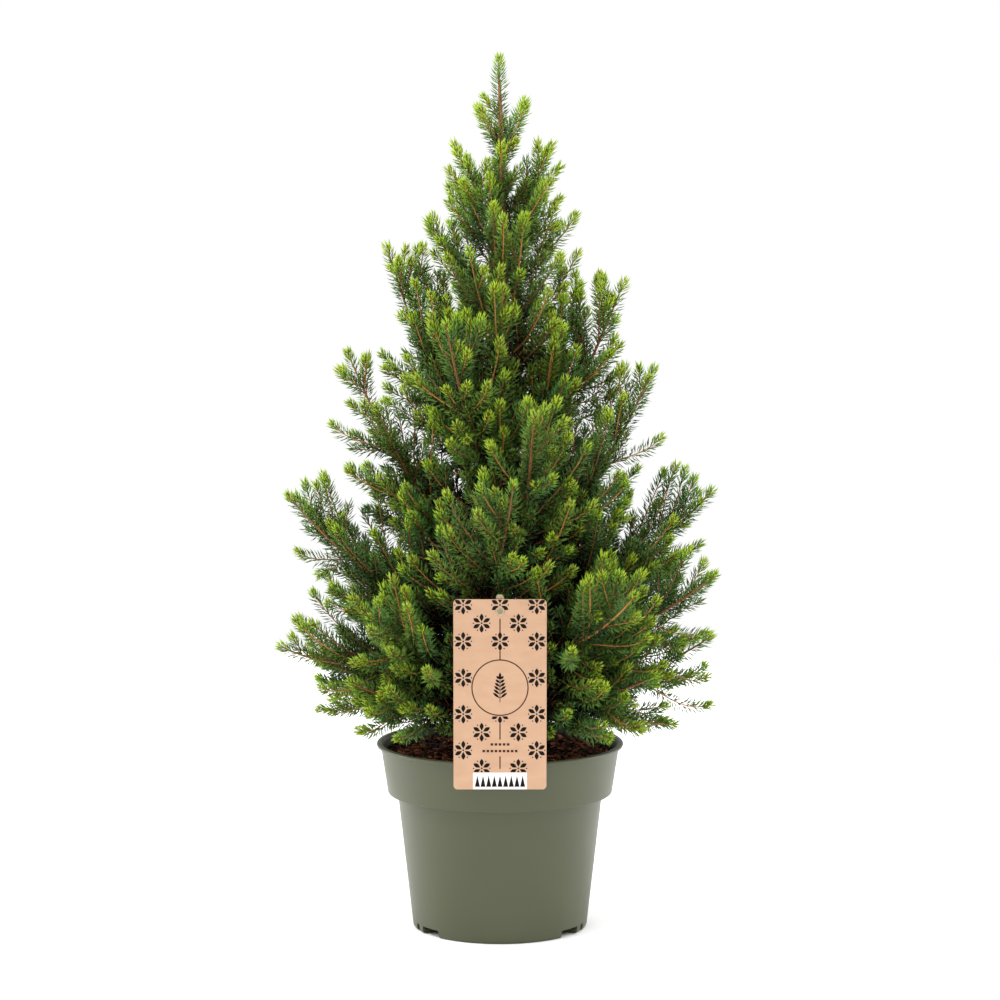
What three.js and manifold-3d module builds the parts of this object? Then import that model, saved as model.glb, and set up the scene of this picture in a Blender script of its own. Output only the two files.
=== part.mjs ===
// Dwarf spruce in a nursery pot: pot, potting mix, label on a stake, trunk, boughs and foliage masses.
// Millimetres, +Z up, origin at the centre of the pot's flat underside. +X is right and -Y is the front.
import * as THREE from "three";
import { mergeVertices } from "three/addons/utils/BufferGeometryUtils.js";
import Module from "manifold-3d";

const wasm = await Module();
wasm.setup();

// ---------------------------------------------------------------- driving dimensions

const GAP = 0.35; // air between neighbouring pieces
const UP = new THREE.Vector3(0, 0, 1);

const pot = {
  height: 143.6,
  wall: 1.8,
  footRadius: 65.4,
  footEdge: 2.4, // rise of the eased edge round the foot
  bodyFootRadius: 67.4,
  bodyTopRadius: 79,
  bandFoot: 104.6, // height of the band's underside
  bandFootRadius: 86.4,
  bandTopRadius: 91.9,
  lipRadius: 95,
  lipDepth: 2.6,
  floor: 3.2,
  sides: 32,
};

// Drainage openings through the foot of the wall, as angles from the front or back centre line.
const drain = { height: 6, depth: 14, spans: [[44, 61], [66, 70.4]] };

const mix = { edgeLevel: 135.2, crownLevel: 138.2, flatRadius: 16, roughness: 1.1 };

const label = {
  width: 69,
  height: 142.5,
  thickness: 0.6,
  cornerRadius: 3,
  foot: 125,
  back: 96.6, // distance of its rear face in front of the pot's axis
  holeRadius: 2.4,
  holeDrop: 9, // hole centre below the top edge
};

const stake = { width: 6, thickness: 1.2, footY: -84, foot: 138.8, headRise: 3.5, button: 3.6 };

const trunk = {
  foot: mix.crownLevel + GAP,
  tip: 650,
  radius: 8.6,
  tipRadius: 1.1,
  flare: 5.4, // extra radius where the roots begin
  flareHeight: 13,
  roots: 5,
  sides: 12,
  // Sideways wander of the stem at even steps up its height: x, y.
  wander: [[0, 0], [-1, 0.8], [-0.8, 0.9], [0.6, 0.5], [3, 0.1], [1.6, 0.2], [-0.4, 0]],
};

// Each bough: name, azimuth of its tip in degrees from +X, height where it leaves the trunk,
// then its tip's distance from the axis and height.
const boughs = [
  ["left_low", 171, 168, 146, 190],
  ["right_low", 357, 168, 165, 202],
  ["front_left_low", 222, 168, 134, 184],
  ["front_right_low", 318, 168, 134, 184],
  ["front_low", 268, 172, 74, 228],
  ["back_left_low", 124, 169, 144, 192],
  ["back_right_low", 62, 169, 144, 194],
  ["left_lower", 188, 182, 160, 245],
  ["front_left_mid", 231, 184, 144, 270],
  ["front_right_mid", 309, 186, 140, 292],
  ["right_mid", 350, 186, 159, 291],
  ["back_right_mid", 36, 182, 160, 274],
  ["back_left_mid", 142, 180, 158, 268],
  ["back_mid", 90, 188, 146, 292],
  ["left_mid", 180, 206, 151, 348],
  ["front_mid", 262, 214, 112, 356],
  ["right_mid_upper", 6, 212, 152, 351],
  ["back_right_upper", 58, 220, 136, 370],
  ["back_left_upper", 122, 216, 138, 350],
  ["left_upper", 172, 268, 118, 443],
  ["front_upper", 290, 262, 102, 414],
  ["right_upper", 352, 262, 107, 438],
  ["back_upper", 84, 274, 100, 452],
  ["left_high", 192, 346, 73, 528],
  ["front_high", 244, 322, 74, 480],
  ["right_high", 4, 345, 79, 506],
  ["back_high", 108, 333, 74, 506],
];

const bough = { shareBare: 0.2, shareHidden: 0.36, radius: 3.4, sides: 6 };

// A foliage mass: a lobe whose surface rises to a sharp shoot tip at every other corner.
const mass = {
  radius: 32,
  radiusPerReach: 0.11,
  breadth: 1.12, // sideways radius for each unit of depth
  sides: 8,
  ringSpacing: 33,
  spike: 0.3, // how far a shoot tip stands out, as a share of the radius
  dip: 0.14, // how far the hollows between shoots lie in
  sweep: 0.45, // how far a shoot tip leans forward, in ring spacings
  slip: 0.2, // how unevenly the corners lie along the lobe, in ring spacings
  uneven: 0.16, // random share of the radius, both ways
  gap: 2, // air between two masses
};
const underside = { centre: 164, edge: 159, foot: 60, radius: 190 };
const leader = { from: 402, tip: 666, radius: 49, breadth: 1, sides: 8, ringSpacing: 27 };

const colours = {
  pot: 0x6f7358,
  mix: 0x4a2c1c,
  label: 0xe2b48c,
  stake: 0xb9c4a6,
  bark: 0x7a5638,
  needles: 0x3f6a2a,
};

// ---------------------------------------------------------------- small tools

// A seeded source of numbers from 0 to 1, so that every build is the same.
function dice(seed) {
  let state = seed >>> 0;
  return () => {
    state = (state + 0x6d2b79f5) >>> 0;
    let t = Math.imul(state ^ (state >>> 15), 1 | state);
    t = (t + Math.imul(t ^ (t >>> 7), 61 | t)) ^ t;
    return ((t ^ (t >>> 14)) >>> 0) / 4294967296;
  };
}

const radians = THREE.MathUtils.degToRad;

function polar(azimuth, radius, height) {
  return new THREE.Vector3(
    radius * Math.cos(radians(azimuth)),
    radius * Math.sin(radians(azimuth)),
    height,
  );
}

// A closed geometry as a solid that can be joined and cut. grow moves each corner outward along the
// mean direction of its faces, which makes the room that a neighbour is cut back by.
function solidOf(geometry, grow = 0) {
  const bare = new THREE.BufferGeometry();
  bare.setAttribute("position", geometry.getAttribute("position").clone());
  if (geometry.index) bare.setIndex(geometry.index);
  const merged = mergeVertices(bare, 1e-3);
  const position = merged.getAttribute("position");
  const triVerts = new Uint32Array(merged.index.array);
  const build = () => {
    const mesh = new wasm.Mesh({ numProp: 3, vertProperties: position.array, triVerts });
    return new wasm.Manifold(mesh);
  };
  if (build().volume() < 0) {
    for (let i = 0; i < triVerts.length; i += 3) {
      [triVerts[i + 1], triVerts[i + 2]] = [triVerts[i + 2], triVerts[i + 1]];
    }
    merged.setIndex(new THREE.BufferAttribute(triVerts, 1));
  }
  if (grow > 0) {
    merged.computeVertexNormals();
    const normal = merged.getAttribute("normal");
    for (let i = 0; i < position.array.length; i++) position.array[i] += grow * normal.array[i];
  }
  return build();
}

// The largest single body of a solid, for pieces that a cut leaves crumbs of.
function mainBody(solid) {
  return solid.decompose().reduce((best, body) => (body.volume() > best.volume() ? body : best));
}

// A solid cut back by each of some others that it would still run into.
function cleared(solid, others) {
  const apart = (left, other) => left.intersect(other).isEmpty();
  return others.reduce((left, other) => (apart(left, other) ? left : left.subtract(other)), solid);
}

function geometryOf(solid) {
  const mesh = solid.getMesh();
  return new THREE.BufferGeometry()
    .setAttribute("position", new THREE.BufferAttribute(new Float32Array(mesh.vertProperties), 3))
    .setIndex(new THREE.BufferAttribute(new Uint32Array(mesh.triVerts), 1));
}

// A lathe turned about Z from [radius, height] pairs.
function turned(profile, sides) {
  const points = profile.map(([radius, height]) => new THREE.Vector2(radius, height));
  return new THREE.LatheGeometry(points, sides).rotateX(Math.PI / 2);
}

// A tapering limb: a lathe of [share of length, radius] pairs, closed on its axis, bent along a curve.
function limb(curve, taper, sides, grow = 0, shape = () => 1) {
  const rings = taper.map(([share, radius]) => new THREE.Vector2(radius, share));
  const section = [new THREE.Vector2(0, 0), ...rings, new THREE.Vector2(0, 1)];
  const lathe = new THREE.LatheGeometry(section, sides);
  const across = curve.getTangent(0.5).cross(UP);
  if (across.length() < 0.1) across.set(1, 0, 0);
  const position = lathe.getAttribute("position");
  for (let i = 0; i < position.count; i++) {
    const [x, share, z] = [position.getX(i), position.getY(i), position.getZ(i)];
    const along = curve.getTangent(share);
    const side = across.clone().addScaledVector(along, -across.dot(along)).normalize();
    const lift = new THREE.Vector3().crossVectors(side, along);
    const swell = shape(share, Math.atan2(z, x));
    const at = curve.getPoint(share).addScaledVector(side, x * swell).addScaledVector(lift, z * swell);
    position.setXYZ(i, at.x, at.y, at.z);
  }
  return solidOf(lathe, grow);
}

const group = new THREE.Group();

function add(name, geometry, colour, roughness) {
  const material = new THREE.MeshStandardMaterial({ color: colour, roughness, metalness: 0 });
  const mesh = new THREE.Mesh(geometry, material);
  mesh.name = name;
  group.add(mesh);
}

// ---------------------------------------------------------------- pot and potting mix

// The inside of the pot from its floor's centre to under the lip, as [radius, height].
const inside = [
  [0, pot.floor],
  [pot.bodyFootRadius - pot.wall - 1.6, pot.floor],
  [pot.bodyFootRadius - pot.wall, pot.floor + 1.8],
  [pot.bodyTopRadius - pot.wall, pot.bandFoot + pot.wall - 0.3],
  [pot.bandFootRadius - pot.wall - 0.9, pot.bandFoot + pot.wall],
  [pot.bandFootRadius - pot.wall, pot.bandFoot + pot.wall + 1.4],
  [pot.bandTopRadius - pot.wall, pot.height - pot.lipDepth],
];

function makePot() {
  const outside = [
    [0, 0],
    [pot.footRadius, 0],
    [pot.bodyFootRadius, pot.footEdge],
    [pot.bodyTopRadius, pot.bandFoot - 0.4],
    [pot.bandFootRadius - 1.5, pot.bandFoot],
    [pot.bandFootRadius, pot.bandFoot + 1.6],
    [pot.bandTopRadius, pot.height - pot.lipDepth - 0.4],
    [pot.lipRadius, pot.height - pot.lipDepth + 0.5],
    [pot.lipRadius, pot.height - 0.7],
    [pot.lipRadius - 1.4, pot.height],
    [pot.bandTopRadius - 0.6, pot.height],
  ];
  let body = solidOf(turned([...outside, ...[...inside].reverse()], pot.sides));
  const outer = pot.bodyFootRadius + 3;
  for (const centre of [-90, 90]) {
    for (const hand of [-1, 1]) {
      for (const [start, end] of drain.spans) {
        const [from, to] = [start, end].map((angle) => radians(centre + hand * angle));
        const sector = new THREE.Shape();
        sector.absarc(0, 0, outer, from, to, hand < 0);
        sector.absarc(0, 0, outer - drain.depth, to, from, hand > 0);
        const cut = new THREE.ExtrudeGeometry(sector, {
          depth: drain.height + 1,
          bevelEnabled: false,
          curveSegments: 2,
        }).translate(0, 0, -1);
        body = body.subtract(solidOf(cut));
      }
    }
  }
  add("pot", geometryOf(body), colours.pot, 0.55);
}

function makeMix() {
  const wall = inside.slice(0, -1).map(([radius, height]) => [Math.max(0, radius - GAP), height + GAP]);
  const [last, top] = [inside.at(-2), inside.at(-1)];
  const share = (mix.edgeLevel - last[1]) / (top[1] - last[1]);
  const edge = THREE.MathUtils.lerp(last[0], top[0], share) - GAP;
  const rings = [0.82, 0.5].map((part) => [
    part * edge,
    THREE.MathUtils.lerp(mix.crownLevel, mix.edgeLevel, part * part),
  ]);
  const surface = [[edge, mix.edgeLevel], ...rings, [mix.flatRadius, mix.crownLevel], [0, mix.crownLevel]];
  const geometry = turned([...wall, ...surface], pot.sides);
  const position = geometry.getAttribute("position");
  for (let i = 0; i < position.count; i++) {
    const [x, y, z] = [position.getX(i), position.getY(i), position.getZ(i)];
    const radius = Math.hypot(x, y);
    if (z < mix.edgeLevel - 1 || radius > edge - 1 || radius < mix.flatRadius + 1) continue;
    const angle = Math.atan2(y, x);
    const bump = Math.sin(5 * angle + radius * 0.21) * Math.cos(3 * angle - radius * 0.13);
    position.setZ(i, z + mix.roughness * bump);
  }
  add("potting_mix", geometry, colours.mix, 0.95);
}

// ---------------------------------------------------------------- label

function roundedPlate(width, height, radius) {
  const [x, y] = [width / 2, height / 2];
  const shape = new THREE.Shape();
  shape.absarc(x - radius, y - radius, radius, 0, Math.PI / 2);
  shape.absarc(radius - x, y - radius, radius, Math.PI / 2, Math.PI);
  shape.absarc(radius - x, radius - y, radius, Math.PI, 1.5 * Math.PI);
  shape.absarc(x - radius, radius - y, radius, 1.5 * Math.PI, 2 * Math.PI);
  return shape;
}

const labelHole = label.foot + label.height - label.holeDrop;

function makeLabel() {
  const card = roundedPlate(label.width, label.height, label.cornerRadius);
  const hole = new THREE.Path();
  hole.absarc(0, label.height / 2 - label.holeDrop, label.holeRadius, 0, 2 * Math.PI, true);
  card.holes.push(hole);
  const geometry = new THREE.ExtrudeGeometry(card, {
    depth: label.thickness,
    bevelEnabled: false,
    curveSegments: 5,
  });
  geometry.rotateX(Math.PI / 2).translate(0, -label.back, label.foot + label.height / 2);
  add("plant_label", geometry, colours.label, 0.6);
}

function makeStake() {
  const head = label.foot + label.height + stake.headRise;
  const rise = head - stake.foot;
  const lean = Math.atan2(label.back - GAP - stake.thickness + stake.footY, rise);
  const strip = roundedPlate(stake.width, rise / Math.cos(lean), stake.width / 2 - 0.2);
  const blade = new THREE.ExtrudeGeometry(strip, {
    depth: stake.thickness,
    bevelEnabled: false,
    curveSegments: 3,
  });
  blade
    .translate(0, rise / Math.cos(lean) / 2, 0)
    .rotateX(Math.PI / 2 + lean)
    .translate(0, stake.footY, stake.foot);
  const pegLength = label.thickness + 2 * GAP + stake.thickness;
  const peg = new THREE.CylinderGeometry(label.holeRadius - GAP, label.holeRadius - GAP, pegLength + 1, 10);
  peg.translate(0, -label.back + stake.thickness + GAP - (pegLength + 1) / 2, labelHole);
  const front = -label.back - label.thickness - GAP;
  const button = new THREE.CylinderGeometry(stake.button, stake.button - 0.6, 0.9, 14);
  button.translate(0, front - 0.45, labelHole);
  const whole = solidOf(blade).add(solidOf(peg)).add(solidOf(button));
  add("label_stake", geometryOf(whole), colours.stake, 0.4);
}

// ---------------------------------------------------------------- trunk

const trunkStep = (trunk.tip - trunk.foot) / (trunk.wander.length - 1);
const trunkCurve = new THREE.CatmullRomCurve3(
  trunk.wander.map(([x, y], step) => new THREE.Vector3(x, y, trunk.foot + step * trunkStep)),
);

function trunkSolid(grow = 0) {
  const steps = [0, 0.012, 0.03, 0.07, 0.16, 0.28, 0.4, 0.52, 0.64, 0.76, 0.88, 1];
  const length = trunk.tip - trunk.foot;
  const taper = steps.map((share) => {
    const flare = trunk.flare * Math.exp((-share * length) / trunk.flareHeight);
    return [share, trunk.tipRadius + (trunk.radius - trunk.tipRadius) * (1 - share) ** 0.85 + flare];
  });
  const buttress = (share, angle) => {
    const low = Math.exp((-share * length) / trunk.flareHeight);
    return 1 + 0.16 * low * Math.cos(trunk.roots * angle) + 0.03 * Math.sin(2 * angle + 14 * share);
  };
  return limb(trunkCurve, taper, trunk.sides, grow, buttress);
}

// The middle of the trunk at a height.
function trunkCentre(height) {
  return trunkCurve.getPoint((height - trunk.foot) / (trunk.tip - trunk.foot));
}

// ---------------------------------------------------------------- boughs and foliage

// A bough leaves the trunk fairly flat and sweeps up to its tip.
function boughCurve([, azimuth, from, reach, top]) {
  const start = trunkCentre(from);
  const end = polar(azimuth, reach, top);
  const rise = top - from;
  const knee = start.clone().lerp(end, 0.55);
  knee.z = from + rise * (rise > reach ? 0.42 : 0.4);
  knee.addScaledVector(UP, rise < 50 ? 14 : 0);
  return new THREE.QuadraticBezierCurve3(start, knee, end);
}

// An uneven lobe along a curve. Every other corner of its rings stands out and leans forward, which
// makes a shoot tip, and the corners between are hollows.
function lobe(curve, radius, { breadth, sides, ringSpacing }, seed, grow) {
  const random = dice(seed);
  const rings = Math.round(curve.getLength() / ringSpacing);
  const points = [new THREE.Vector2(0, 0)];
  for (let ring = 0; ring < rings; ring++) {
    const share = (ring + 0.45) / rings;
    points.push(new THREE.Vector2(radius * Math.sin(Math.PI * share ** 0.66) ** 0.8, share));
  }
  points.push(new THREE.Vector2(0, 1));
  const jitter = points.map(() => Array.from({ length: sides }, () => [random() - 0.5, random() - 0.5]));
  const lathe = new THREE.LatheGeometry(points, sides);
  const position = lathe.getAttribute("position");
  const across = curve.getTangent(0.5).cross(UP);
  if (across.length() < 0.1) across.set(1, 0, 0);
  for (let i = 0; i < position.count; i++) {
    const [x, share, z] = [position.getX(i), position.getY(i), position.getZ(i)];
    const [column, ring] = [Math.floor(i / points.length) % sides, i % points.length];
    const onRing = ring > 0 && ring <= rings;
    const isTip = (column + ring) % 2 === 0;
    const [swell, slip] = jitter[ring][column];
    const out = 1 + (isTip ? mass.spike : -mass.dip) + 2 * mass.uneven * swell;
    const lean = ((isTip ? mass.sweep : 0) + mass.slip * slip) / rings;
    const where = Math.min(onRing ? share + lean : share, 1);
    const along = curve.getTangent(where);
    const side = across.clone().addScaledVector(along, -across.dot(along)).normalize();
    const lift = new THREE.Vector3().crossVectors(side, along);
    const at = curve.getPoint(where);
    at.addScaledVector(side, x * out * breadth);
    at.addScaledVector(lift, z * out);
    position.setXYZ(i, at.x, at.y, at.z);
  }
  return solidOf(lathe, grow);
}

// The outer part of a bough's line, which its foliage follows.
function outerCurve(curve) {
  const share = (part) => THREE.MathUtils.lerp(bough.shareBare, 1, part);
  return new THREE.CatmullRomCurve3([0, 0.33, 0.66, 1].map((part) => curve.getPoint(share(part))));
}

function foliage(curve, reach, seed, grow) {
  const radius = mass.radius + mass.radiusPerReach * reach;
  return lobe(outerCurve(curve), radius, mass, seed, grow);
}

function leaderFoliage(grow) {
  const foot = trunkCentre(leader.from);
  const column = new THREE.CatmullRomCurve3([
    foot,
    trunkCentre((leader.from + trunk.tip) / 2),
    new THREE.Vector3(-0.6, 0, leader.tip),
  ]);
  return lobe(column, leader.radius, leader, 11, grow);
}

// The space that foliage leaves free round the label and its stake.
function labelClearance() {
  const room = 4;
  const behind = -stake.footY - room;
  const depth = 60;
  return solidOf(
    new THREE.BoxGeometry(label.width + 2 * room, depth, label.height + 2 * room).translate(
      0,
      -behind - depth / 2,
      label.foot + label.height / 2 + room / 2,
    ),
  );
}

// The space above and round the pot's rim, down to which the lowest foliage reaches.
function rimClearance() {
  const profile = [
    [0, underside.foot],
    [underside.radius, underside.foot],
    [underside.radius, underside.edge],
    [0, underside.centre],
  ];
  return solidOf(turned(profile, 24));
}

function makeTree() {
  add("trunk", geometryOf(trunkSolid()), colours.bark, 0.85);
  let taken = trunkSolid(mass.gap / 2).add(labelClearance()).add(rimClearance());

  const masses = [mainBody(leaderFoliage(0).subtract(taken))];
  add("foliage_leader", geometryOf(masses[0]), colours.needles, 0.8);
  taken = taken.add(leaderFoliage(mass.gap));

  let foliageRoom = leaderFoliage(GAP);
  boughs.forEach((row, index) => {
    const [name, , , reach] = row;
    const curve = boughCurve(row);
    const bulk = mainBody(cleared(foliage(curve, reach, 40 + index, 0).subtract(taken), masses));
    masses.push(bulk);
    add("foliage_" + name, geometryOf(bulk), colours.needles, 0.8);
    taken = taken.add(foliage(curve, reach, 40 + index, mass.gap));
    foliageRoom = foliageRoom.add(foliage(curve, reach, 40 + index, GAP));
  });

  let woodRoom = trunkSolid(GAP).add(foliageRoom);
  for (const row of boughs) {
    const curve = boughCurve(row);
    const inner = new THREE.QuadraticBezierCurve3(
      curve.getPoint(0),
      curve.getPoint(bough.shareHidden / 2),
      curve.getPoint(bough.shareHidden),
    );
    const taper = [[0, 1.25], [0.2, 1], [1, 0.72]].map(([share, part]) => [share, part * bough.radius]);
    const wood = mainBody(cleared(limb(inner, taper, bough.sides).subtract(woodRoom), masses));
    add("bough_" + row[0], geometryOf(wood), colours.bark, 0.85);
    woodRoom = woodRoom.add(limb(inner, taper, bough.sides, GAP));
  }
}

makePot();
makeMix();
makeLabel();
makeStake();
makeTree();

export default group;
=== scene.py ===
"""Dwarf spruce in an olive nursery pot with a plant label on a stake: the looks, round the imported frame."""

import math
from itertools import product
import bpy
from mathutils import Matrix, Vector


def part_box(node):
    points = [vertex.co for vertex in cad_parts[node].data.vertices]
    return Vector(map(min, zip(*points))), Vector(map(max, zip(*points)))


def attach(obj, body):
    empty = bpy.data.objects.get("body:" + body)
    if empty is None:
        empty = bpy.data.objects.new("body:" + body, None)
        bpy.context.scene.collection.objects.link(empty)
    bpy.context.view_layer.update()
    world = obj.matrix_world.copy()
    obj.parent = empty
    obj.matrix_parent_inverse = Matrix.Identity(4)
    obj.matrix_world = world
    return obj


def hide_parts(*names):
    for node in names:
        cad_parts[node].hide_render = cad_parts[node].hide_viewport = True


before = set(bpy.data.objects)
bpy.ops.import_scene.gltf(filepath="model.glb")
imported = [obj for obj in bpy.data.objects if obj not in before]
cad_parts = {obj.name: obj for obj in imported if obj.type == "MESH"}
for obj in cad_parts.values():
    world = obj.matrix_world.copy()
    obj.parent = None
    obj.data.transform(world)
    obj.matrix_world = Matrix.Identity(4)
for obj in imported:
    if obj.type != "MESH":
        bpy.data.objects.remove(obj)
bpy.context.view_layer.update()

from types import SimpleNamespace as Table

import bmesh
import bpy
import numpy as np
from mathutils import Vector, noise
from mathutils.bvhtree import BVHTree

MM = 0.001
UP = np.array((0.0, 0.0, 1.0))
GOLDEN = math.radians(137.508)
SCENE = bpy.context.scene

# ---- sizes, in metres

CAMERA_AT = (0.0, -2.515, 0.604)
CAMERA_AIM = (0.0, 0.0, 0.3307)
CAMERA_LENS = 119.0
FLOOR_RADIUS = 1.4
LIGHTS = [  # name, place, what it points at, width and height, and watts
    ("key_top", (-0.5, -0.9, 2.2), (0, 0, 0.35), (1.1, 1.1), 30),
    ("side_left", (-1.7, 0.35, 0.9), (0, 0, 0.3), (1.0, 2.0), 28),
    ("side_right", (1.7, 0.35, 0.9), (0, 0, 0.3), (1.0, 2.0), 22),
    ("back_top", (0.2, 1.2, 2.2), (0, 0, 0.4), (1.8, 1.2), 20),
]

POT = Table(
    foot_radius=67.4 * MM,
    wall=1.8 * MM,
    floor=3.2 * MM,
    step_height=104.6 * MM,  # underside of the band
    step_radius=79 * MM,
    band_foot_radius=86.4 * MM,
    band_top_radius=91.9 * MM,
    lip_depth=2.6 * MM,
    sides=192,
    windows=[(44.0, 61.0), (66.0, 70.4)],  # degrees from the front or back centre line
    window_height=6 * MM,
    window_depth=14 * MM,
)
SMOOTH_ANGLE = math.radians(32)  # edges of turned work sharper than this stay sharp
MIX = Table(
    under_chips=1.6 * MM,  # from the mix's top down to its surface
    dome=3 * MM,
    skirt=9 * MM,
    bumps=1.3 * MM,
    bumps_per_metre=130,
    rings=36, sides=96,
)
CHIPS = 2600
CHIP_HALVES = [(1.4, 5.2), (0.5, 1.7), (0.25, 0.7)]  # half length, width and thickness, in mm
CHIP_BROWNS = [(156, 88, 54), (114, 62, 38), (64, 36, 22), (192, 126, 82), (32, 20, 14)]
CHIP_SHARES = (0.22, 0.26, 0.22, 0.09, 0.21)
# Height that foliage keeps above, by distance from the axis.
LOWEST = ([0.0, 70 * MM, 110 * MM, 165 * MM], [167 * MM, 167 * MM, 163 * MM, 166 * MM])
# Space by the label that shoots keep out of; the end_ values are for tips of the trunk's own shoots.
LABEL_SPACE = Table(
    half_width=43 * MM, front=-85 * MM, top=278 * MM,
    limb_front=-84 * MM,
    end_half_width=46 * MM, end_front=-70 * MM, end_top=290 * MM,
)
TRUNK_SHOOTS = Table(
    low=185 * MM, high=545 * MM, spacing=6.5 * MM,
    rise=34, rise_more=24,  # degrees above level at the lowest, and added at the highest
    probe=0.3,  # distance from outside the crown at which its surface is looked for
    reaches=np.arange(10, 260, 4) * MM,
    share_of_reach=(0.84, 0.98), turn_noise=0.2, rise_noise=5,
    shortest=35 * MM,
    foot_per_length=0.006, tip=0.42 * MM,
    handles=(0.35, 0.35), first_rise=0.35, upturn=0.8,
    leafy_from=0.25,
    side_spacing=11 * MM, side_to=0.78, side_longer=1.5,
)

LABEL = Table(
    pitch=13.6 * MM,  # between neighbouring rows and columns of rosettes
    first_row=4.2 * MM,  # below the card's top edge
    rosette=7.6 * MM,
    ring=20.3 * MM,
    ring_drop=66 * MM,
    stroke=0.9 * MM,
    panel=(40 * MM, 12.6 * MM),
    ink=0.05 * MM,  # thickness of the print
    rows=10, ring_row=6, word_row=8,
    lines=((14.5, 24.8), (38.5, 45), (93, 105), (117.5, 127)),  # mm below the card's top edge
    dashes=((108.6, 5), (113.6, 9)),  # mm below that edge, and how many in the row
    dash_pitch=3.0 * MM,
    teeth=9, tooth_pitch=4.2 * MM,
)

SHOOT = Table(
    attach_angle=math.radians(33),  # between a limb and its shoots
    longest=95 * MM,
    foot=0.42 * MM,  # radius of the wood, and what each metre of length adds
    foot_per_length=0.0045,
    foot_most=0.8 * MM,
    tip=0.45 * MM,
    tip_short=5 * MM,  # the wood ends this far inside its mass's tip
    shortest=12 * MM,
    stations=np.linspace(0.02, 0.86, 24),  # shares of the limb where a shoot can start
    far_cost=25,  # radians of angle that a metre over the longest is worth in the choice of a place
    choice_noise=0.12,
    leafy_from=0.08,  # share of a shoot that is bare at its foot
    step=9 * MM,  # spacing of the points on a twig
    sides=3,
    fill_per_mass=20, fill_leader=8, fill_apart=24 * MM,
    handles=(0.36, 0.34),  # shares of the span from which the curve's ends are steered
    along_limb=0.35, sag=0.12,  # pull on a shoot's start
    upturn=0.8, outturn=0.15, tip_way=0.2,  # pull on its end
    wobble=0.014,
    limb_handles=(0.35, 0.3), limb_upturn=0.35,
    limb_tip=0.7 * MM, limb_leafy_from=0.12,
    limb_side_spacing=11 * MM,
    thick=1.9 * MM,  # wood over this radius has the colour of older bark
    point=0.8 * MM,
    deep_from=55 * MM, shaded_under=0.5, brown_share=0.35,
)
SIDE = Table(  # short shoots on a shoot, their places as shares of its length
    spacing=15 * MM,
    start=0.1, to=0.52,
    length=26 * MM,
    shortest=7 * MM,
    first=1.15, fall=0.7,  # length of the first, and what it loses by the last
    range=(0.6, 1.25), upturn=0.35, rise=0.12, sag=0.05, noise=0.3,
    probe=6 * MM, clear=4 * MM,
    foot=0.5 * MM, tip=0.36 * MM,
    angle=math.radians(42),
)
OPEN_REACH = 70 * MM  # a tip with this much clear air before it counts as open
OPEN_SHARE = 0.6  # and one with nearly as much counts as this open
OUTLINE_LEVELS = np.arange(160, 661, 20) * MM
LEADER_FROM = 0.56  # shoots that end above this height are the topmost ones
NEEDLE = Table(
    length=8.8 * MM,
    half_width=0.66 * MM,
    pitch=0.53 * MM,  # spacing along an outer shoot
    pitch_inner=0.8 * MM,
    pitch_leader=0.38 * MM,  # on the topmost shoots
    tuft=8 * MM,  # length of the bright brush at a shoot's tip
    tuft_pitch=0.28 * MM,
    spread_tip=25, spread_more=42,  # degrees from the shoot at its tip, and added further back
    spread_over=26 * MM, spread_noise=6,
    upturn=0.12,
    size_tip=0.74, size_over=12 * MM, size_range=(0.85, 1.15),
    middle=0.54, bulge=0.9, roll=0.5,
    sunk=0.7,  # share of the wood's radius at which a needle's foot sits
    place_noise=0.4, turn_noise=0.25,
    shade_stretch=0.9, shade_shift=16 * MM, zone_noise=2 * MM,  # painted shade: shade moves the colour to older, darker rows
    high_from=0.36, high_over=0.2, high_less=0.6,  # and painted light at the top keeps it in younger, brighter rows
    dark_from=32 * MM, dark_over=36 * MM, dark_shift=62 * MM,  # painted shade: depth in the crown darkens it
    # cap on the age with its painted shade, before the depth's painted shade is added
    oldest=58 * MM,
    thin_from=54 * MM,  # depth beyond which only a share of them is kept
    thin_share=0.33,
    zones=[4.5 * MM, 10 * MM, 38 * MM, 66 * MM],  # distances from the tip, with the painted shade added, where the colour moves to the next row
)

# Needle colours as sRGB, from a shoot's tip back to its oldest wood, then a near-black painted shade for deep
# inside the crown, with variants dealt out by spray.
NEEDLE_COLOURS = [
    [(158, 182, 40), (144, 174, 36), (150, 174, 50)],
    [(110, 144, 36), (98, 138, 42), (118, 148, 34)],
    [(84, 118, 42), (74, 112, 48), (94, 122, 36)],
    [(58, 88, 34), (50, 82, 38), (68, 92, 28)],
    # painted shade: near-black for needles deep in the crown
    [(14, 23, 8), (11, 19, 9), (18, 26, 8)],
]
# Twig colours as sRGB: young, older bark, and the darkest, a painted shade for twigs deep in the crown.
TWIG_COLOURS = [(186, 124, 58), (134, 86, 42), (74, 50, 30)]


def srgb(colour):
    """An sRGB colour from 0 to 255 as linear RGBA."""
    linear = [(c / 255 / 12.92) if c <= 10 else ((c / 255 + 0.055) / 1.055) ** 2.4 for c in colour]
    return (*linear, 1.0)


# ---- vectors and paths

def unit(v):
    v = np.asarray(v, float)
    length = np.linalg.norm(v, axis=-1, keepdims=True)
    return v / np.maximum(length, 1e-12)


def bezier(p0, p1, p2, p3, count):
    t = np.linspace(0, 1, count)[:, None]
    return (1 - t) ** 3 * p0 + 3 * (1 - t) ** 2 * t * p1 + 3 * (1 - t) * t ** 2 * p2 + t ** 3 * p3


def sweep(start, first, end, last, span, handles, count, wobble=(0, 0)):
    """A curve that leaves start along one direction and comes to end along another."""
    near, far = handles
    return bezier(
        start, start + near * span * first + wobble[0], end - far * span * last + wobble[1], end, count
    )


def path_lengths(path):
    """Distance along the path at each of its points."""
    return np.concatenate([[0.0], np.cumsum(np.linalg.norm(np.diff(path, axis=0), axis=1))])


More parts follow.
